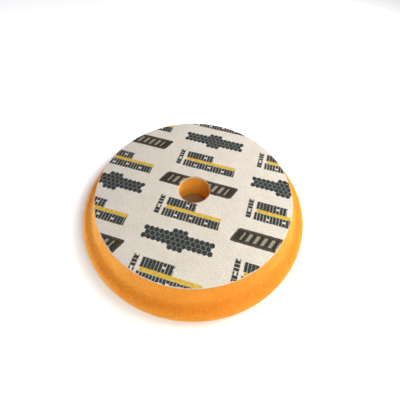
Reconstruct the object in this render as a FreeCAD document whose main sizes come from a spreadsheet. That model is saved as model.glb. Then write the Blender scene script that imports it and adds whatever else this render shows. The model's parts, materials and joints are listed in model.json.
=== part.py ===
import FreeCAD, Part
import os

import Sketcher

# A foam polishing pad, in millimetres. It is three layers on one axis, all cut through by one
# centre bore: the open-cell foam disc that polishes, the film of hot-melt adhesive on top of it,
# and the disc of loop fabric that a machine's hook-faced backing plate grips.
#
# The origin is the centre of the working face, which lies on the table, and +Z is the pad's
# axis, pointing up through the loop fabric.
#
# The foam's side has two zones. A steep cone widens downwards from the loop fabric to a crease.
# Below the crease a rounded shoulder bulges out to the widest circle, just above the table.

DOCUMENT_NAME = "polishing_pad"
SHEET_NAME = "sizes"
PARTS_FOLDER = "parts"

# How a sketch names the places on its edges, and its own origin.
START, END, CENTRE = 1, 2, 3
SKETCH_ORIGIN = (-1, START)

SIZES = {
    "bore_radius": (10.6, "centre bore, the same through all three layers"),
    "backing_radius": (63.5, "loop fabric disc, cut to fit a 5 inch backing plate"),
    "loop_thickness": (1.5, "knitted ground of the loop fabric with its pile"),
    "film_thickness": (0.2, "hot-melt adhesive film between the fabric and the foam"),
    "foam_thickness": (19.3, "foam disc, from the working face to the film"),
    "foam_top_radius": (63.8, "foam at its upper face, just proud of the loop fabric"),
    "crease_radius": (69.0, "crease between the upper cone and the rounded shoulder"),
    "crease_height": (7.2, "crease above the working face"),
    "rim_radius": (76.5, "widest circle of the pad"),
    "rim_round": (0.8, "rounding from the widest circle down to the working face"),
}


def make_sheet(doc):
    """Put every driving dimension in one sheet, a row each, with its name as the alias."""
    sheet = doc.addObject("Spreadsheet::Sheet", SHEET_NAME)
    for row, (alias, (size, meaning)) in enumerate(SIZES.items(), start=1):
        sheet.set(f"A{row}", alias)
        sheet.set(f"B{row}", str(size))
        sheet.setAlias(f"B{row}", alias)
        sheet.set(f"C{row}", meaning)
    doc.recompute()
    return sheet


def origin_plane(body, role):
    """One of a body's own origin planes, such as XY_Plane."""
    for feature in body.Origin.OriginFeatures:
        if feature.Role == role:
            return feature
    raise LookupError(f"{body.Name} has no {role}")


def new_body(doc, label):
    """An empty body whose label is the sub-part's name."""
    body = doc.addObject("PartDesign::Body", label)
    body.Label = label
    return body


def new_sketch(body, name, role):
    """An empty sketch on one of the body's origin planes."""
    sketch = body.newObject("Sketcher::SketchObject", name)
    sketch.AttachmentSupport = [(origin_plane(body, role), "")]
    sketch.MapMode = "FlatFace"
    return sketch


def cell(alias):
    """The formula that reads one dimension of the sheet."""
    return f"{SHEET_NAME}.{alias}"


def bind(sketch, kind, places, size, formula):
    """Add a dimension to a sketch at its present size, and drive it from the sheet."""
    index = sketch.addConstraint(Sketcher.Constraint(kind, *places, size))
    name = f"size{index}"
    sketch.renameConstraint(index, name)
    sketch.setExpression(f"Constraints.{name}", formula)


def bind_point(sheet, sketch, point, radius, height):
    """Hold a point of the section at a radius from the axis and a height, both named sizes."""
    bind(sketch, "DistanceX", SKETCH_ORIGIN + point, getattr(sheet, radius), cell(radius))
    bind(sketch, "DistanceY", SKETCH_ORIGIN + point, getattr(sheet, height), cell(height))


def arc_between(centre, first, last):
    """The arc that runs anticlockwise about its centre from one point to another."""
    circle = Part.Circle(centre, FreeCAD.Vector(0, 0, 1), first.distanceToPoint(centre))
    return Part.ArcOfCircle(circle, circle.parameter(first), circle.parameter(last))


def draw_foam_section(sheet, sketch):
    """Half of the foam's section: X is the distance from the axis and Y the height."""
    bore = FreeCAD.Vector(sheet.bore_radius, 0, 0)
    foot = FreeCAD.Vector(sheet.rim_radius - sheet.rim_round, 0, 0)
    rim = FreeCAD.Vector(sheet.rim_radius, sheet.rim_round, 0)
    crease = FreeCAD.Vector(sheet.crease_radius, sheet.crease_height, 0)
    edge = FreeCAD.Vector(sheet.foam_top_radius, sheet.foam_thickness, 0)
    mouth = FreeCAD.Vector(sheet.bore_radius, sheet.foam_thickness, 0)

    # The shoulder's circle stands upright at the rim and passes through the crease, so its
    # centre is level with the rim and as far from the one as from the other.
    inward = rim.x - crease.x
    rise = crease.y - rim.y
    shoulder_radius = (inward**2 + rise**2) / (2 * inward)
    shoulder_centre = FreeCAD.Vector(rim.x - shoulder_radius, rim.y, 0)
    corner_centre = FreeCAD.Vector(foot.x, rim.y, 0)

    base = sketch.addGeometry(Part.LineSegment(bore, foot))
    corner = sketch.addGeometry(arc_between(corner_centre, foot, rim))
    shoulder = sketch.addGeometry(arc_between(shoulder_centre, rim, crease))
    cone = sketch.addGeometry(Part.LineSegment(crease, edge))
    top = sketch.addGeometry(Part.LineSegment(edge, mouth))
    wall = sketch.addGeometry(Part.LineSegment(mouth, bore))

    # The rim runs smoothly into the working face and the shoulder; other corners are crisp.
    sketch.addConstraint(Sketcher.Constraint("Tangent", base, END, corner, START))
    sketch.addConstraint(Sketcher.Constraint("Tangent", corner, END, shoulder, START))
    sketch.addConstraint(Sketcher.Constraint("Coincident", shoulder, END, cone, START))
    sketch.addConstraint(Sketcher.Constraint("Coincident", cone, END, top, START))
    sketch.addConstraint(Sketcher.Constraint("Coincident", top, END, wall, START))
    sketch.addConstraint(Sketcher.Constraint("Coincident", wall, END, base, START))

    foot_radius = f"{cell('rim_radius')} - {cell('rim_round')}"
    sketch.addConstraint(Sketcher.Constraint("Horizontal", base))
    sketch.addConstraint(Sketcher.Constraint("Vertical", wall))
    sketch.addConstraint(Sketcher.Constraint("PointOnObject", base, START, -1))
    level = Sketcher.Constraint("Horizontal", corner, CENTRE, shoulder, CENTRE)
    sketch.addConstraint(level)
    bind(sketch, "DistanceX", SKETCH_ORIGIN + (base, END), foot.x, foot_radius)
    bind(sketch, "Radius", (corner,), sheet.rim_round, cell("rim_round"))
    bind_point(sheet, sketch, (cone, START), "crease_radius", "crease_height")
    bind_point(sheet, sketch, (cone, END), "foam_top_radius", "foam_thickness")
    bind_point(sheet, sketch, (top, END), "bore_radius", "foam_thickness")


def make_foam_pad(doc, sheet):
    """The foam disc: its half section turned once about the pad's axis."""
    body = new_body(doc, "foam_pad")
    sketch = new_sketch(body, "foam_section", "XZ_Plane")
    draw_foam_section(sheet, sketch)
    turn = body.newObject("PartDesign::Revolution", "foam_turn")
    turn.Profile = sketch
    turn.ReferenceAxis = (sketch, ["V_Axis"])
    turn.Angle = 360.0
    return body


def make_ring_layer(doc, sheet, label, thickness, underside):
    """A flat layer with the bore through it, as wide as the loop fabric disc."""
    body = new_body(doc, label)
    sketch = new_sketch(body, f"{label}_outline", "XY_Plane")
    axis = FreeCAD.Vector(0, 0, 0)
    up = FreeCAD.Vector(0, 0, 1)
    for alias in ("backing_radius", "bore_radius"):
        radius = getattr(sheet, alias)
        circle = sketch.addGeometry(Part.Circle(axis, up, radius))
        centred = Sketcher.Constraint("Coincident", circle, CENTRE, *SKETCH_ORIGIN)
        sketch.addConstraint(centred)
        bind(sketch, "Radius", (circle,), radius, cell(alias))
    pad = body.newObject("PartDesign::Pad", f"{label}_pad")
    pad.Profile = sketch
    pad.setExpression("Length", thickness)
    body.setExpression("Placement.Base.z", underside)
    return body


def make_adhesive_film(doc, sheet):
    """The adhesive film, which lies on the foam."""
    return make_ring_layer(
        doc, sheet, "adhesive_film", cell("film_thickness"), cell("foam_thickness")
    )


def make_loop_backing(doc, sheet):
    """The loop fabric, which lies on the film."""
    underside = f"{cell('foam_thickness')} + {cell('film_thickness')}"
    return make_ring_layer(doc, sheet, "loop_backing", cell("loop_thickness"), underside)


def check(doc, bodies):
    """Stop if any object failed to build or any sub-part isn't one closed valid solid."""
    for item in doc.Objects:
        if "Invalid" in item.State or "Error" in item.State:
            raise RuntimeError(f"{item.Label} failed to build: {item.State}")
    for body in bodies:
        if body.Shape.isNull() or not body.Shape.isValid():
            raise RuntimeError(f"{body.Label} has no valid shape")
        if len(body.Shape.Solids) != 1:
            raise RuntimeError(f"{body.Label} isn't one solid")


def export(bodies):
    """Write each sub-part to its own file and print its size."""
    os.makedirs(PARTS_FOLDER, exist_ok=True)
    for body in bodies:
        body.Shape.exportStep(os.path.join(PARTS_FOLDER, f"{body.Label}.step"))
        box = body.Shape.optimalBoundingBox(True, False)
        low, high = box.ZMin, box.ZMax
        print(f"{body.Label}: radius {box.XMax:.2f}, from {low:.2f} to {high:.2f} high,")
        print(f"    {body.Shape.Volume:.0f} cubic millimetres")


def main():
    doc = FreeCAD.newDocument(DOCUMENT_NAME)
    sheet = make_sheet(doc)
    bodies = [
        make_foam_pad(doc, sheet),
        make_adhesive_film(doc, sheet),
        make_loop_backing(doc, sheet),
    ]
    doc.recompute()
    check(doc, bodies)
    export(bodies)


main()
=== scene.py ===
import json
import math

import bpy
import numpy as np
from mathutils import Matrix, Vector, noise

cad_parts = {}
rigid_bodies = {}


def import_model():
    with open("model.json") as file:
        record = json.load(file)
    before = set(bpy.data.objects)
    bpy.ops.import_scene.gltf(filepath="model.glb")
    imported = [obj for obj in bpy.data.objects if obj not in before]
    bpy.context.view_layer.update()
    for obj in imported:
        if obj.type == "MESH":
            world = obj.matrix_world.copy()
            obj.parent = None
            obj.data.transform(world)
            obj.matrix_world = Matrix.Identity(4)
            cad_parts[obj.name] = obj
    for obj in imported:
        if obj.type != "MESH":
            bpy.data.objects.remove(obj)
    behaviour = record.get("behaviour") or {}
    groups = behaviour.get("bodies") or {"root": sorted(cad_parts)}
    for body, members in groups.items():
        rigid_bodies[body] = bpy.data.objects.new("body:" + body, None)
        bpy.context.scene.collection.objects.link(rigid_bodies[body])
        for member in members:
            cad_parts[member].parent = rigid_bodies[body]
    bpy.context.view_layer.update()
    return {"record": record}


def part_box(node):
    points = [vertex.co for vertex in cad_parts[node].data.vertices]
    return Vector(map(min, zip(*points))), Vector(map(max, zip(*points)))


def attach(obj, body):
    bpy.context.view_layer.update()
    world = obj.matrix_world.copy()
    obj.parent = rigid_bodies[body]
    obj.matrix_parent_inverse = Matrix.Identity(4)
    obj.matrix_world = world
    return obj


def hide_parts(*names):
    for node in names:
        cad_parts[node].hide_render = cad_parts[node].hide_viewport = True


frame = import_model()

# Looks of a foam polishing pad that lies on its working face with its loop fabric up. Lengths are in
# millimetres until a mesh is written or a lamp is placed. The axis of the pad is the Z axis.
MM = 0.001

FOAM_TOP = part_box("foam_pad")[1].z / MM
RIM_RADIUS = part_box("foam_pad")[1].x / MM
FABRIC_BOTTOM, FABRIC_TOP = (corner.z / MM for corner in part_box("loop_backing"))
FABRIC_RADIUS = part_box("loop_backing")[1].x / MM
MOUNTS = {mount["name"]: mount for mount in frame["record"]["mounts"]}
BORE_RADIUS = MOUNTS["centre_bore"]["dims"]["r_mm"]
CREASE_RADIUS, CREASE_HEIGHT = 69.0, 7.2
CREASE_REACH, CREASE_ROUNDS = 4.2, 56
FOAM_TOP_RADIUS = 63.8
RIM_ROUND = 0.8
FABRIC_LIP = 0.35

# Drag marks that run round the foam's crease, and the streaks of the painted shade there: how many
# noise features to a radian, and to a millimetre of height.
STREAKS_ROUND, STREAKS_UP = 22.0, 1.3

# The knit: the distance between ribs, and the length and height of a loop on the face.
RIB_PITCH = 1.35
LOOP_LONG, LOOP_HIGH = 1.7, 0.75

# The print's own axes on the fabric, turned about 18 degrees from X and Y, and the two steps along
# them at which it repeats.
PRINT_X, PRINT_Y = (0.9513, -0.3081), (0.3081, 0.9513)
STEP_ALONG, STEP_DOWN = (54.79, 14.06), (0.522, -41.69)

# The motifs. Each has a middle, and the words fill a box that lies a little below theirs. The plate
# leans to the right as it rises, and the strip of cells is round about its middle.
WORDS_MIDDLE, WORDS_DROP, WORDS_HALF = (1.5, 25.4), 1.2, (21.0, 7.6)
EMBLEM_MIDDLE = (1.1, 25.1)
PLATE_HALF, LEAN, MARK_PITCH = (24.6, 4.9), 0.40, 4.4
CELL_WIDTH, STRIP_HALF, STRIP_ROUND = 3.1, (20.2, 2.9), 7.0
INK_EDGE = 0.28

# How many loops are tried on the face, and the loose ends at the outer edge and at the bore.
FACE_LOOPS, EDGE_ENDS, MOUTH_ENDS = 10500, 2100, 380

# A distance that puts a motif out of the way, and how sharply a cell is in the strip or out of it.
FAR, STEEP = 99.0, 9.0

# The floor and the surround. The glow starts outside the pad, and under the pad the floor is painted a
# browner shadow, which shows through the bore.
FLOOR_HALF, FLOOR_DROP = 3.0, 0.4
FLOOR_GLOW, GLOW_START, GLOW_FULL = 0.70, 74.0, 92.0
SHADOW_PATCH_INNER, SHADOW_PATCH_OUTER = 12.0, 50.0
SURROUND_LIGHT, SURROUND_SEEN = 0.05, 0.95


# ---------------------------------------------------------------- meshes of revolution

def spread(start, end, step, around):
    """Points from start up to but not including end, about step apart, with their steps around."""
    (r0, z0), (r1, z1) = start, end
    n = max(1, round(math.hypot(r1 - r0, z1 - z0) / step))
    return [(r0 + (r1 - r0) * i / n, z0 + (z1 - z0) * i / n, around) for i in range(n)]


def arc(centre, radius, first, last, step, around):
    """Points along an arc between two angles in degrees, without its last point."""
    n = max(1, round(math.radians(abs(last - first)) * radius / step))
    angles = [math.radians(first + (last - first) * i / n) for i in range(n)]
    r, z = centre
    return [(r + radius * math.cos(a), z + radius * math.sin(a), around) for a in angles]


def ease(section, corner, reach, times):
    """The section with its points within reach of a corner averaged with their neighbours.

    Its two end points stay where they are."""
    ring = np.array(section)
    near = np.hypot(ring[:, 0] - corner[0], ring[:, 1] - corner[1]) < reach
    near[[0, -1]] = False
    for _ in range(times):
        middle = (np.roll(ring, 1, 0) + 2 * ring + np.roll(ring, -1, 0)) / 4
        ring[near] = middle[near]
    return [(r, z, int(around)) for r, z, around in ring]


def stitch(first, n, second, m):
    """Faces between a ring of n points and the next of m, where m is n, its double or its half."""
    i = np.arange(min(n, m))
    if n == m:
        j = (i + 1) % n
        return np.stack([first + i, first + j, second + j, second + i], 1).tolist()
    if n > m:
        a, b, c = first + 2 * i, first + 2 * i + 1, first + (2 * i + 2) % n
        d, e = second + i, second + (i + 1) % m
        corners = ((a, b, d), (b, e, d), (b, c, e))
    else:
        a, b = first + i, first + (i + 1) % n
        c, d, e = second + 2 * i, second + 2 * i + 1, second + (2 * i + 2) % m
        corners = ((a, b, d), (a, d, c), (b, e, d))
    return np.concatenate([np.stack(three, 1) for three in corners]).tolist()


def lathe(section, relief):
    """Points and faces of a closed section turned about Z.

    section holds (radius, height, steps around), anticlockwise round the material. Each point moves
    along its normal by what relief(points, normals) gives, in millimetres."""
    ring = np.array([point[:2] for point in section])
    counts = [point[2] for point in section]
    along = np.roll(ring, -1, 0) - np.roll(ring, 1, 0)
    normal = np.stack([along[:, 1], -along[:, 0]], 1)
    normal /= np.linalg.norm(normal, axis=1)[:, None]
    points, normals = [], []
    for (r, z), (nr, nz), n in zip(ring, normal, counts):
        a = np.arange(n) * 2 * math.pi / n
        points.append(np.stack([r * np.cos(a), r * np.sin(a), np.full(n, z)], 1))
        normals.append(np.stack([nr * np.cos(a), nr * np.sin(a), np.full(n, nz)], 1))
    points, normals = np.concatenate(points), np.concatenate(normals)
    starts = np.concatenate([[0], np.cumsum(counts)[:-1]])
    faces = []
    for k in range(len(ring)):
        after = (k + 1) % len(ring)
        faces += stitch(starts[k], counts[k], starts[after], counts[after])
    return points + normals * relief(points, normals)[:, None], faces


def make_piece(name, points, faces, material, slot):
    """A smooth-shaded mesh object from points in millimetres, riding on the pad."""
    mesh = bpy.data.meshes.new(name)
    mesh.from_pydata((np.asarray(points) * MM).tolist(), [], faces)
    mesh.update()
    mesh.shade_smooth()
    mesh.materials.append(material)
    piece = bpy.data.objects.new(name, mesh)
    bpy.context.scene.collection.objects.link(piece)
    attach(piece, "root")
    return piece


def waves(points, size, seed=0.0):
    """Perlin noise from -1 to 1 at each point, with features about size millimetres across."""
    return np.array([noise.noise(Vector(p)) for p in (np.asarray(points) / size + seed).tolist()])


def cell_walls(points, size):
    """0 at the middle of a foam cell and 1 at its walls, for cells about size millimetres across."""
    return np.array([min(1.0, 1.6 * noise.voronoi(Vector(p))[0][0]) for p in (points / size).tolist()])


def hill(x, centre, width):
    """1 at the centre, falling off smoothly over about the width on both sides."""
    return np.exp(-(((x - centre) / width) ** 2))


# ---------------------------------------------------------------- shader graphs

class Field:
    """A number that varies over a surface. Arithmetic on it adds Math nodes to its graph."""

    def __init__(self, graph, socket):
        self.graph, self.socket = graph, socket

    def math(self, operation, *others):
        return self.graph.math(operation, self, *others)

    def __add__(self, other):
        return self.math("ADD", other)

    def __sub__(self, other):
        return self.math("SUBTRACT", other)

    def __rsub__(self, other):
        return self.graph.math("SUBTRACT", other, self)

    def __mul__(self, other):
        return self.math("MULTIPLY", other)

    def __truediv__(self, other):
        return self.math("DIVIDE", other)

    def __abs__(self):
        return self.math("ABSOLUTE")

    __radd__, __rmul__ = __add__, __mul__


class Graph:
    """The node tree of one material, written as arithmetic."""

    def __init__(self, name):
        self.material = bpy.data.materials.new(name)
        self.material.use_nodes = True
        self.tree = self.material.node_tree
        self.tree.nodes.clear()
        self.places = self.add("ShaderNodeTexCoord").outputs["Object"]

    def add(self, kind, **settings):
        """A new node with these settings."""
        node = self.tree.nodes.new(kind)
        for key, value in settings.items():
            setattr(node, key, value)
        return node

    def feed(self, socket, value):
        """Links a field or a socket to this socket, or sets its plain value."""
        value = value.socket if isinstance(value, Field) else value
        if isinstance(value, bpy.types.NodeSocket):
            self.tree.links.new(value, socket)
        else:
            socket.default_value = (*value, 1.0) if socket.type == "RGBA" else value

    def math(self, operation, *values):
        """The result of a Math node on fields or plain numbers."""
        node = self.add("ShaderNodeMath", operation=operation)
        for socket, value in zip(node.inputs, values):
            self.feed(socket, value)
        return Field(self, node.outputs[0])

    def most(self, first, *others):
        """The greatest of the values."""
        for other in others:
            first = self.math("MAXIMUM", first, other)
        return first

    def least(self, first, *others):
        """The least of the values."""
        for other in others:
            first = self.math("MINIMUM", first, other)
        return first

    def axes(self):
        """The place on the object along X, Y and Z, in millimetres."""
        split = self.add("ShaderNodeSeparateXYZ")
        self.feed(split.inputs[0], self.places)
        return [Field(self, socket) / MM for socket in split.outputs]

    def join(self, x, y, z):
        """A vector from three values."""
        node = self.add("ShaderNodeCombineXYZ")
        for socket, value in zip(node.inputs, (x, y, z)):
            self.feed(socket, value)
        return node.outputs[0]

    def noise(self, size, detail=2.0, roughness=0.5, at=None):
        """Noise from 0 to 1 with features about size millimetres across, or size units of at."""
        node = self.add("ShaderNodeTexNoise")
        self.feed(node.inputs["Vector"], self.places if at is None else at)
        self.feed(node.inputs["Scale"], 1 / (size * MM) if at is None else 1 / size)
        self.feed(node.inputs["Detail"], detail)
        self.feed(node.inputs["Roughness"], roughness)
        return Field(self, node.outputs[0])

    def cells(self, size):
        """How far each point is from the middle of its cell, with cells about size across."""
        node = self.add("ShaderNodeTexVoronoi")
        self.feed(node.inputs["Vector"], self.places)
        self.feed(node.inputs["Scale"], 1 / (size * MM))
        return Field(self, node.outputs["Distance"])

    def chance(self, first, second):
        """A random number from 0 to 1 for each pair of whole numbers."""
        node = self.add("ShaderNodeTexWhiteNoise", noise_dimensions="2D")
        self.feed(node.inputs["Vector"], self.join(first, second, 0.0))
        return Field(self, node.outputs["Value"])

    def ramp(self, value, low, high):
        """0 where value is at low, 1 where it is at high, and smooth between."""
        node = self.add("ShaderNodeMapRange", interpolation_type="SMOOTHSTEP")
        for socket, number in zip(node.inputs, (value, low, high, 0.0, 1.0)):
            self.feed(socket, number)
        return Field(self, node.outputs[0])

    def mix(self, amount, first, second):
        """A colour from first, at an amount of 0, to second, at 1."""
        node = self.add("ShaderNodeMix", data_type="RGBA")
        self.feed(node.inputs[0], amount)
        for socket, value in zip([s for s in node.inputs if s.type == "RGBA"], (first, second)):
            self.feed(socket, value)
        return next(s for s in node.outputs if s.type == "RGBA")

    def bump(self, height, depth, under=None):
        """A normal for a height from 0 to 1 that is depth millimetres deep."""
        node = self.add("ShaderNodeBump")
        self.feed(node.inputs["Strength"], 1.0)
        self.feed(node.inputs["Distance"], depth * MM)
        self.feed(node.inputs["Height"], height)
        if under is not None:
            self.feed(node.inputs["Normal"], under)
        return node.outputs[0]

    def finish(self, **sockets):
        """Puts a Principled shader at the end and gives the material."""
        shader = self.add("ShaderNodeBsdfPrincipled")
        for name, value in sockets.items():
            self.feed(shader.inputs[name.replace("_", " ")], value)
        output = self.add("ShaderNodeOutputMaterial")
        self.feed(output.inputs["Surface"], shader.outputs[0])
        return self.material


# ---------------------------------------------------------------- the foam

def foam_relief(points, normals):
    """Open cells, the soft unevenness of sawn foam, and drag marks along the crease.

    The top is left flat where the film covers it."""
    radius, height = np.hypot(points[:, 0], points[:, 1]), points[:, 2]
    covered = (height > FOAM_TOP - 0.1) & (radius < FOAM_TOP_RADIUS - 0.3)
    turned = points / np.maximum(radius, 1.0)[:, None] * STREAKS_ROUND
    turned[:, 2] = height * STREAKS_UP
    streaks = waves(turned, 1.0, 3.7) * hill(height, CREASE_HEIGHT, 1.8) * (radius > 60)
    uneven = 0.08 * waves(points, 9.0, 1.3) + 0.04 * waves(points, 3.1, 8.1)
    grain = 0.15 * (cell_walls(points, 1.25) - 0.6) + 0.05 * waves(points, 0.47, 5.5)
    return np.where(covered, 0.0, grain + uneven + 0.09 * streaks)


def foam_material():
    """Orange foam with open pores, painted shade in their hollows and in streaks along the crease,
    and painted light on the bore wall.
    """
    g = Graph("open_cell_foam")
    x, y, z = g.axes()
    radius = g.math("SQRT", x * x + y * y)
    pores, fine = g.cells(0.85), g.noise(0.30, 2.0, 0.6)
    colour = g.mix(g.ramp(g.noise(14.0, 3.0), 0.3, 0.7), (0.91, 0.325, 0.029), (0.94, 0.375, 0.043))
    colour = g.mix(g.ramp(g.noise(1.6, 3.0, 0.6), 0.35, 0.75) * 0.30, colour, (0.82, 0.28, 0.022))
    colour = g.mix(g.ramp(g.noise(0.62, 2.0, 0.6), 0.46, 0.66) * 0.55, colour, (0.70, 0.20, 0.016))
    colour = g.mix(g.ramp(g.noise(0.75, 2.0, 0.6), 0.54, 0.72) * 0.45, colour, (1.0, 0.49, 0.10))
    # Painted light: the bore wall is painted a lighter orange, as if brightly lit inside.
    colour = g.mix(g.ramp(radius, BORE_RADIUS + 0.6, BORE_RADIUS + 0.3), colour, (0.98, 0.47, 0.065))
    # Painted shade: the middle of each pore, its hollow, is painted darker.
    colour = g.mix(g.ramp(pores, 0.36, 0.05) * 0.45, colour, (0.70, 0.21, 0.015))
    turned = g.join(x / radius * STREAKS_ROUND, y / radius * STREAKS_ROUND, z * STREAKS_UP)
    streak = g.ramp(g.noise(1.0, 3.0, 0.6, turned), 0.38, 0.66)
    # Painted shade: the colour is darkened in a band along the crease, where shade falls, patchy in
    # streaks.
    crease = g.ramp(abs(z - CREASE_HEIGHT), 2.4, 0.2) * g.ramp(radius, 60.0, 64.0)
    colour = g.mix(crease * (0.04 + 0.20 * streak), colour, (0.66, 0.20, 0.012))
    return g.finish(
        Base_Color=colour, Normal=g.bump(fine, 0.12, g.bump(pores, 0.50)),
        Roughness=0.95, Specular_IOR_Level=0.15,
        Subsurface_Weight=0.65, Subsurface_Radius=(1.0, 0.55, 0.2), Subsurface_Scale=1.6 * MM,
        Sheen_Weight=0.04, Sheen_Roughness=0.6, Sheen_Tint=(1.0, 0.93, 0.82),
    )


def make_foam():
    """A cone above a rounded shoulder, with a soft crease between, and a bore down its middle."""
    # The shoulder's arc is centred level with the top of the small rounding at the working face.
    out, up = RIM_RADIUS - CREASE_RADIUS, CREASE_HEIGHT - RIM_ROUND
    bulge = (out * out + up * up) / (2 * out)
    middle = (RIM_RADIUS - bulge, RIM_ROUND)
    top = math.degrees(math.atan2(up, CREASE_RADIUS - middle[0]))
    crease, top_edge = (CREASE_RADIUS, CREASE_HEIGHT), (FOAM_TOP_RADIUS, FOAM_TOP)
    side = arc(middle, bulge, 0, top, 0.45, 960) + spread(crease, top_edge, 0.45, 960)
    # The steps around double where the radius does, and are fewer where the film covers the foam.
    section = (
        spread((BORE_RADIUS, 0), (16.5, 0), 0.86, 120)
        + spread((16.5, 0), (33.0, 0), 0.86, 240)
        + spread((33.0, 0), (66.0, 0), 0.86, 480)
        + spread((66.0, 0), (RIM_RADIUS - RIM_ROUND, 0), 0.66, 960)
        + arc((RIM_RADIUS - RIM_ROUND, RIM_ROUND), RIM_ROUND, -90, 0, 0.4, 960)
        + ease(side, crease, CREASE_REACH, CREASE_ROUNDS)
        + spread(top_edge, (62.8, FOAM_TOP), 0.5, 960)
        + [(62.0, FOAM_TOP, 480), (60.0, FOAM_TOP, 240), (40.0, FOAM_TOP, 120), (20.0, FOAM_TOP, 120)]
        + spread((BORE_RADIUS, FOAM_TOP), (BORE_RADIUS, 0), 0.5, 120)
    )
    piece = make_piece("foam_body", *lathe(section, foam_relief), foam_material(), "open_cell_foam")
    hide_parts("foam_pad")


# ---------------------------------------------------------------- the printed loop fabric

def to_print(x, y):
    """X and Y turned into the print's own axes. Works on arrays and on fields."""
    return x * PRINT_X[0] + y * PRINT_X[1], x * PRINT_Y[0] + y * PRINT_Y[1]


def whole(value):
    """The nearest whole number, for an array as for a field."""
    return value.math("ROUND") if isinstance(value, Field) else np.round(value)


def repeat(s, t, middle, half_down=0.0):
    """The place within the nearest repeat of a motif, and that repeat's two whole numbers."""
    (us, ut), (vs, vt) = STEP_ALONG, STEP_DOWN
    area = us * vt - ut * vs
    ds, dt = s - (middle[0] + half_down * vs), t - (middle[1] + half_down * vt)
    i = whole((ds * vt - dt * vs) / area)
    j = whole((dt * us - ds * ut) / area)
    return ds - (i * us + j * vs), dt - (i * ut + j * vt), i, j


def slab(g, p, q, half_long, half_high, corner=0.0):
    """Distance outside a rectangle about the origin, negative inside it, with its corners cut."""
    cut = (abs(p) + abs(q)) - (half_long + half_high - corner)
    return g.most(abs(p) - half_long, abs(q) - half_high, cut)


def strokes(g, p, q, left, right, low, high, pitch, seed):
    """Distance outside a row of upright bars of uneven width, some with a gap part of the way up."""
    column = ((p - left) / pitch).math("FLOOR")
    across = (((p - left) / pitch).math("FRACT") - 0.5) * pitch
    width = (0.82 + 0.20 * g.chance(column, seed)) * (pitch / 2)
    half_long, half_high = (right - left) / 2, (high - low) / 2
    row = slab(g, p - (left + right) / 2, q - (low + high) / 2, half_long, half_high)
    bar = g.most(abs(across) - width, row)
    gap_at = low + (high - low) * (0.35 + 0.3 * g.chance(column, seed + 7))
    gap, no_gap = 0.6 - abs(q - gap_at), -9.0
    broken = g.ramp(g.chance(column, seed + 3), 0.70, 0.71)
    return g.most(bar, broken * gap + (1 - broken) * no_gap)


def honeycomb(g, p, q):
    """Six-sided cells in a strip with a round middle: distance outside them, and depth in a cell."""
    width, rise = CELL_WIDTH, CELL_WIDTH * math.sqrt(3)
    half_long, half_high = STRIP_HALF
    strips, insides = [], []
    for shift in (0.0, 0.5):
        cp = ((p / width - shift).math("ROUND") + shift) * width
        cq = ((q / rise - shift).math("ROUND") + shift) * rise
        dp, dq = abs(p - cp), abs(q - cq)
        inside = width / 2 - g.most(dp, dp * 0.5 + dq * (math.sqrt(3) / 2))
        beyond_strip = g.most(abs(cp) - half_long, abs(cq) - half_high)
        beyond = g.least(beyond_strip, cp * cp + cq * cq - STRIP_ROUND**2) * STEEP
        strips.append(g.most(beyond, inside * -1.0))
        insides.append(inside)
    return g.least(*strips), g.most(*insides)


def print_inks(g, x, y):
    """Amounts of slate, near-black, yellow and pale ink at each point, and of the cells' borders."""
    ragged = [(g.noise(0.9, 2.0, 0.6, g.join(x, y, k)) - 0.5) * 0.9 for k in (0.0, 9.0)]
    s, t = to_print(x, y)
    s, t = s + ragged[0], t + ragged[1]

    # Three rows of bars and a stripe.
    p, q, _, _ = repeat(s, t, WORDS_MIDDLE)
    words = g.least(
        strokes(g, p, q, -15.4, 3.6, -0.1, 5.7, 2.05, 2.0),
        strokes(g, p, q, -15.9, 20.4, -8.2, -2.6, 1.95, 5.0),
        strokes(g, q, p, -7.8, 6.2, -20.8, -17.6, 2.2, 11.0),
    )
    stripe = slab(g, p - 2.9, q + 1.25, 17.7, 1.2)

    # A leaning plate and a strip of cells, which take turns.
    p, q, i, j = repeat(s, t, EMBLEM_MIDDLE, 0.5)
    odd = (((i + j) / 2).math("FRACT") * 2).math("ROUND")
    leaning = p - q * LEAN
    plate = slab(g, leaning, q, *PLATE_HALF, 1.0) + odd * FAR
    across = ((leaning / MARK_PITCH).math("FRACT") - 0.5) * MARK_PITCH
    marks = g.most(abs(across) - 1.0, slab(g, leaning, q, 19.8, 2.7))
    strip, border = honeycomb(g, p, q)
    strip = strip + (1 - odd) * FAR

    def ink(distance):
        return g.ramp(distance, INK_EDGE, -INK_EDGE)

    slate = ink(g.least(words, strip))
    borders = g.ramp(border, 0.30, 0.06) * ink(strip)
    outline = ink(abs(plate + 0.95) - 0.10) * 0.45
    return slate, ink(plate), ink(stripe), g.most(ink(marks), outline), borders


def finish_yarn(g, colour, **sockets):
    """The material of a graph in this colour, dull and a little fuzzy as nylon yarn is."""
    return g.finish(
        Base_Color=colour, Roughness=0.92, Specular_IOR_Level=0.1,
        Sheen_Weight=0.10, Sheen_Roughness=0.4, Sheen_Tint=(1.0, 0.98, 0.95), **sockets,
    )


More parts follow.
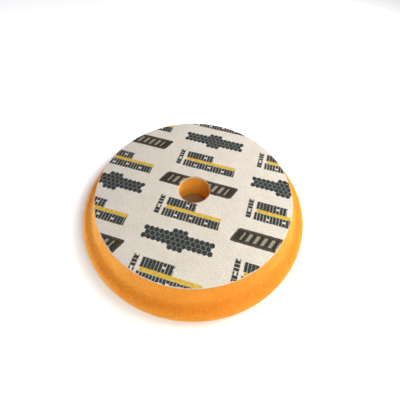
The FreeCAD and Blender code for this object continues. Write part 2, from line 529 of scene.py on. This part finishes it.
def fabric_material():
    """White knit with ribs and loops, painted shade in their hollows, and the print on its upper face
    only.
    """
    g = Graph("loop_fabric")
    x, y, z = g.axes()
    slate, black, yellow, pale, borders = print_inks(g, x, y)
    radius = g.math("SQRT", x * x + y * y)
    frayed = radius + (g.noise(2.2) - 0.5) * 2.0
    upper = g.ramp(z, FABRIC_TOP - 0.60, FABRIC_TOP - 0.25)
    face = upper * g.ramp(frayed, FABRIC_RADIUS + 0.2, FABRIC_RADIUS - 0.3)
    s, t = to_print(x, y)
    wander = (g.noise(2.4) - 0.5) * 1.1
    rib = ((t + wander) * (2 * math.pi / RIB_PITCH)).math("COSINE") * 0.5 + 0.5
    loops = g.noise(1.0, 2.0, 0.6, g.join(s / LOOP_LONG, t / LOOP_HIGH, z))
    fuzz = g.noise(0.35, 3.0, 0.7)
    white = g.mix(g.ramp(g.noise(9.0, 3.0), 0.3, 0.7), (0.74, 0.705, 0.655), (0.79, 0.76, 0.72))
    # Painted shade: the white is darker where the loops and ribs are low, in the hollows of the knit.
    white = g.mix(g.ramp(loops * 0.82 + rib * 0.18, 0.68, 0.32) * 0.50, white, (0.62, 0.575, 0.525))
    white = g.mix(g.ramp(g.noise(0.8, 2.0, 0.6), 0.50, 0.68) * 0.55, white, (0.87, 0.855, 0.805))
    cover = face * (0.90 + 0.10 * g.ramp(fuzz, 0.62, 0.45))
    # Painted shade: the yellow ink is darker where the loops are low.
    yellow_ink = g.mix(g.ramp(loops, 0.4, 0.6), (0.58, 0.36, 0.022), (0.78, 0.55, 0.060))
    slate_ink = g.mix(fuzz, (0.004, 0.010, 0.012), (0.022, 0.038, 0.043))
    black_ink = g.mix(fuzz, (0.005, 0.0035, 0.002), (0.026, 0.020, 0.014))
    gold_ink = g.mix(g.ramp(g.noise(3.0), 0.4, 0.6), (0.40, 0.35, 0.20), (0.33, 0.34, 0.33))
    colour = g.mix(yellow * cover, white, yellow_ink)
    colour = g.mix(slate * cover, colour, slate_ink)
    colour = g.mix(borders * face * 0.7, colour, (0.12, 0.15, 0.155))
    colour = g.mix(black * cover, colour, black_ink)
    colour = g.mix(black * pale * face * 0.85, colour, gold_ink)
    return finish_yarn(g, colour, Normal=g.bump(fuzz, 0.16, g.bump(loops * 0.75 + rib * 0.25, 0.26)))


def is_bare(x, y):
    """Whether each point of the face is clear of the print, where ink doesn't mat the pile."""
    s, t = to_print(x, y)
    p, q, _, _ = repeat(s, t, WORDS_MIDDLE)
    words = (abs(p) < WORDS_HALF[0]) & (abs(q + WORDS_DROP) < WORDS_HALF[1])
    p, q, _, _ = repeat(s, t, EMBLEM_MIDDLE, 0.5)
    plate = (abs(p - LEAN * q) < PLATE_HALF[0] + 0.9) & (abs(q) < PLATE_HALF[1] + 0.6)
    round_middle = np.hypot(p, q) < STRIP_ROUND + 1.2
    return ~(words | plate | round_middle)


def fabric_relief(points, normals):
    """Knit ribs and brushed pile on the face, and a slightly ragged cut at both edges."""
    s, t = to_print(points[:, 0], points[:, 1])
    height = points[:, 2]
    face = np.clip(normals[:, 2], 0, 1)
    rib = np.cos((t + 0.5 * waves(points, 2.4, 2.0)) * 2 * math.pi / RIB_PITCH)
    loops = waves(np.stack([s / LOOP_LONG, t / LOOP_HIGH, height], 1), 1.0, 4.0)
    pile = 0.03 * rib + 0.15 * loops + 0.12 * waves(points, 0.8, 6.0) + 0.08 * waves(points, 7.0, 9.0)
    flat = points * (1.0, 1.0, 0.35)
    cut = (0.16 * waves(flat, 0.7, 1.0) + 0.14 * waves(flat, 2.6, 3.0)) * (height > FABRIC_BOTTOM + 0.1)
    side = np.clip(1 - np.abs(normals[:, 2]), 0, 1)
    return face * pile + side * cut


def fibres(paths, thick):
    """Points and faces of three-sided tubes of these radii, along paths by fibre, point and axis."""
    count, length, _ = paths.shape
    along = np.gradient(paths, axis=1)
    along /= np.linalg.norm(along, axis=2)[..., None]
    # The sideways axis of each ring, with a trace added in case the fibre stands upright.
    level = np.cross(along, (0.0, 0.0, 1.0)) + (1e-6, 0, 0)
    level /= np.linalg.norm(level, axis=2)[..., None]
    over = np.cross(level, along)
    turns = np.arange(3) * 2 * math.pi / 3
    sideways = np.cos(turns)[:, None] * level[:, :, None, :]
    ring = sideways + np.sin(turns)[:, None] * over[:, :, None, :]
    points = (paths[:, :, None, :] + ring * thick[:, None, None, None]).reshape(-1, 3)
    start = np.arange(count)[:, None, None] * length * 3
    low = start + np.arange(length - 1)[:, None] * 3 + np.arange(3)
    side = start + np.arange(length - 1)[:, None] * 3 + (np.arange(3) + 1) % 3
    quads = np.stack([low, side, side + 3, low + 3], -1).reshape(-1, 4)
    first = start[:, 0, 0, None] + np.array([2, 1, 0])
    last = start[:, 0, 0, None] + (length - 1) * 3 + np.array([0, 1, 2])
    return points, quads.tolist() + first.tolist() + last.tolist()


def pile_paths(rng):
    """Loops that stand in the face, and loose ends that stick out of both cut edges."""
    u = np.linspace(0, 1, 4)
    inner, outer = BORE_RADIUS + 0.3, FABRIC_RADIUS - 0.3
    radius = np.sqrt(rng.uniform(inner**2, outer**2, FACE_LOOPS))
    angle, heading = rng.uniform(0, 2 * math.pi, (2, FACE_LOOPS))
    reach, rise = rng.uniform(0.7, 1.7, FACE_LOOPS), rng.uniform(0.15, 0.42, FACE_LOOPS)
    x, y = radius * np.cos(angle), radius * np.sin(angle)
    loops = np.zeros((FACE_LOOPS, 4, 3))
    loops[..., 0] = x[:, None] + (reach * np.cos(heading))[:, None] * (u - 0.5)
    loops[..., 1] = y[:, None] + (reach * np.sin(heading))[:, None] * (u - 0.5)
    loops[..., 2] = FABRIC_TOP - 0.10 + rise[:, None] * 4 * u * (1 - u)
    paths = [loops[is_bare(x, y)]]
    for count, edge, way in ((EDGE_ENDS, FABRIC_RADIUS, 1), (MOUTH_ENDS, BORE_RADIUS, -1)):
        angle = rng.uniform(0, 2 * math.pi, count)
        turn = angle + (0 if way > 0 else math.pi) + rng.normal(0, 0.75, count)
        reach = rng.uniform(0.35, 1.05, count)
        start = rng.uniform(FABRIC_BOTTOM + 0.15, FABRIC_TOP, count)
        root = edge - way * 0.2
        ends = np.zeros((count, 4, 3))
        ends[..., 0] = (root * np.cos(angle))[:, None] + (reach * np.cos(turn))[:, None] * u
        ends[..., 1] = (root * np.sin(angle))[:, None] + (reach * np.sin(turn))[:, None] * u
        ends[..., 2] = start[:, None] + rng.normal(0, 0.18, count)[:, None] * u - 0.18 * u * u
        paths.append(ends)
    return np.concatenate(paths)


def make_fabric():
    """The loop fabric, cut as a ring from flat cloth, and the pile that stands out of it."""
    low, high, edge, bore, lip = FABRIC_BOTTOM, FABRIC_TOP, FABRIC_RADIUS, BORE_RADIUS, FABRIC_LIP
    # The steps around double where the radius does, and are fewer below, where the film is.
    section = (
        [(bore, low, 210), (20.0, low, 210), (40.0, low, 210), (60.0, low, 420)]
        + [(62.0, low, 420), (63.0, low, 840)]
        + spread((edge, low), (edge, high - lip), 0.4, 840)
        + arc((edge - lip, high - lip), lip, 0, 90, 0.2, 840)
        + spread((edge - lip, high), (42.0, high), 0.46, 840)
        + spread((42.0, high), (21.0, high), 0.46, 420)
        + spread((21.0, high), (bore + lip, high), 0.46, 210)
        + arc((bore + lip, high - lip), lip, 90, 180, 0.2, 210)
        + spread((bore, high - lip), (bore, low), 0.4, 210)
    )
    knit = lathe(section, fabric_relief)
    sheet = make_piece("loop_sheet", *knit, fabric_material(), "loop_fabric")
    rng = np.random.default_rng(11)
    paths = pile_paths(rng)
    points, faces = fibres(paths, rng.uniform(0.028, 0.045, len(paths)))
    yarn = finish_yarn(Graph("loop_pile_yarn"), (0.80, 0.77, 0.72))
    pile = make_piece("loop_pile", points, faces, yarn, "loop_fabric")
    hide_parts("loop_backing")
    math.pi * (FABRIC_RADIUS**2 - BORE_RADIUS**2) * MM**2


# ---------------------------------------------------------------- the adhesive film

def film_material():
    """Cloudy, slightly glossy hot-melt film."""
    g = Graph("hot_melt_film")
    cloud, fine = g.noise(6.0, 3.0), g.noise(0.8, 3.0, 0.6)
    colour = g.mix(g.ramp(cloud, 0.3, 0.7), (0.80, 0.72, 0.55), (0.86, 0.80, 0.66))
    colour = g.mix(g.ramp(fine, 0.45, 0.75) * 0.4, colour, (0.62, 0.50, 0.32))
    return g.finish(
        Base_Color=colour, Normal=g.bump(fine, 0.08),
        Roughness=0.35 + 0.25 * fine, Specular_IOR_Level=0.5,
    )


def finish_film():
    """The film keeps its CAD shape, with a material of its own."""
    film = next(o for o in bpy.context.scene.objects if o.name == "adhesive_film")
    for slot in film.material_slots:
        slot.material = film_material()


# ---------------------------------------------------------------- the floor, the light and the camera

def make_floor():
    """A pale square floor, just below the grain of the working face, with a brown shadow painted under
    the pad.
    """
    signs = ((-1, -1), (1, -1), (1, 1), (-1, 1))
    mesh = bpy.data.meshes.new("floor")
    mesh.from_pydata([(FLOOR_HALF * i, FLOOR_HALF * j, 0) for i, j in signs], [], [(0, 1, 2, 3)])
    g = Graph("floor")
    x, y, _ = g.axes()
    radius = g.math("SQRT", x * x + y * y)
    colour = g.mix(g.noise(60.0), (0.93, 0.93, 0.93), (0.95, 0.95, 0.95))
    # Painted shadow: the floor is painted browner under the pad, where its shade falls.
    colour = g.mix(g.ramp(radius, SHADOW_PATCH_INNER, SHADOW_PATCH_OUTER), (0.42, 0.36, 0.25), colour)
    glow = g.ramp(radius, GLOW_START, GLOW_FULL) * FLOOR_GLOW
    mesh.materials.append(g.finish(
        Base_Color=colour, Roughness=0.9, Specular_IOR_Level=0.1,
        Emission_Color=(1.0, 1.0, 1.0), Emission_Strength=glow,
    ))
    floor = bpy.data.objects.new("floor", mesh)
    floor.location.z = -FLOOR_DROP * MM
    bpy.context.scene.collection.objects.link(floor)


def make_lamp(name, place, size, power, colour):
    """An area lamp, in metres and watts, that faces the frame's origin, under the pad's middle."""
    lamp = bpy.data.lights.new(name, "AREA")
    lamp.shape, lamp.energy, lamp.color = "RECTANGLE", power, colour
    lamp.size, lamp.size_y = size
    holder = bpy.data.objects.new(name, lamp)
    holder.location = place
    holder.rotation_euler = (-Vector(place)).to_track_quat("-Z", "Y").to_euler()
    bpy.context.scene.collection.objects.link(holder)


def make_light():
    """Three soft lamps, and a surround that lights the pad weakly and looks pale to the camera."""
    world = bpy.data.worlds.new("studio")
    world.use_nodes = True
    nodes, links = world.node_tree.nodes, world.node_tree.links
    background = nodes["Background"]
    path, strength = nodes.new("ShaderNodeLightPath"), nodes.new("ShaderNodeMapRange")
    background.inputs["Color"].default_value = (0.96, 0.97, 1.0, 1.0)
    strength.inputs["To Min"].default_value = SURROUND_LIGHT
    strength.inputs["To Max"].default_value = SURROUND_SEEN
    links.new(path.outputs["Is Camera Ray"], strength.inputs["Value"])
    links.new(strength.outputs[0], background.inputs["Strength"])
    bpy.context.scene.world = world
    make_lamp("key", (0.264, 0.123, 0.212), (0.24, 0.24), 1.36, (1.0, 0.94, 0.91))
    make_lamp("front", (0.100, -0.200, 0.222), (0.22, 0.22), 0.68, (1.0, 0.93, 0.76))
    make_lamp("fill", (-0.395, 0.0, 0.050), (0.35, 0.10), 1.45, (0.67, 0.76, 1.0))


def make_camera():
    """A wide camera in front of the pad that looks down on it, turned a little to one side."""
    camera = bpy.data.objects.new("camera", bpy.data.cameras.new("camera"))
    camera.data.sensor_width, camera.data.lens = 36.0, 23.54
    camera.data.clip_start = 0.01
    above_fabric = Vector((-0.009, -1.565, 2.195)) * FABRIC_RADIUS
    camera.location = (above_fabric + Vector((0, 0, FABRIC_TOP))) * MM
    camera.rotation_euler = [math.radians(angle) for angle in (33.1214, -1.209, -0.7909)]
    bpy.context.scene.collection.objects.link(camera)
    bpy.context.scene.camera = camera


make_foam()
make_fabric()
finish_film()
make_floor()
make_light()
make_camera()
bpy.context.scene.view_settings.view_transform = "Standard"
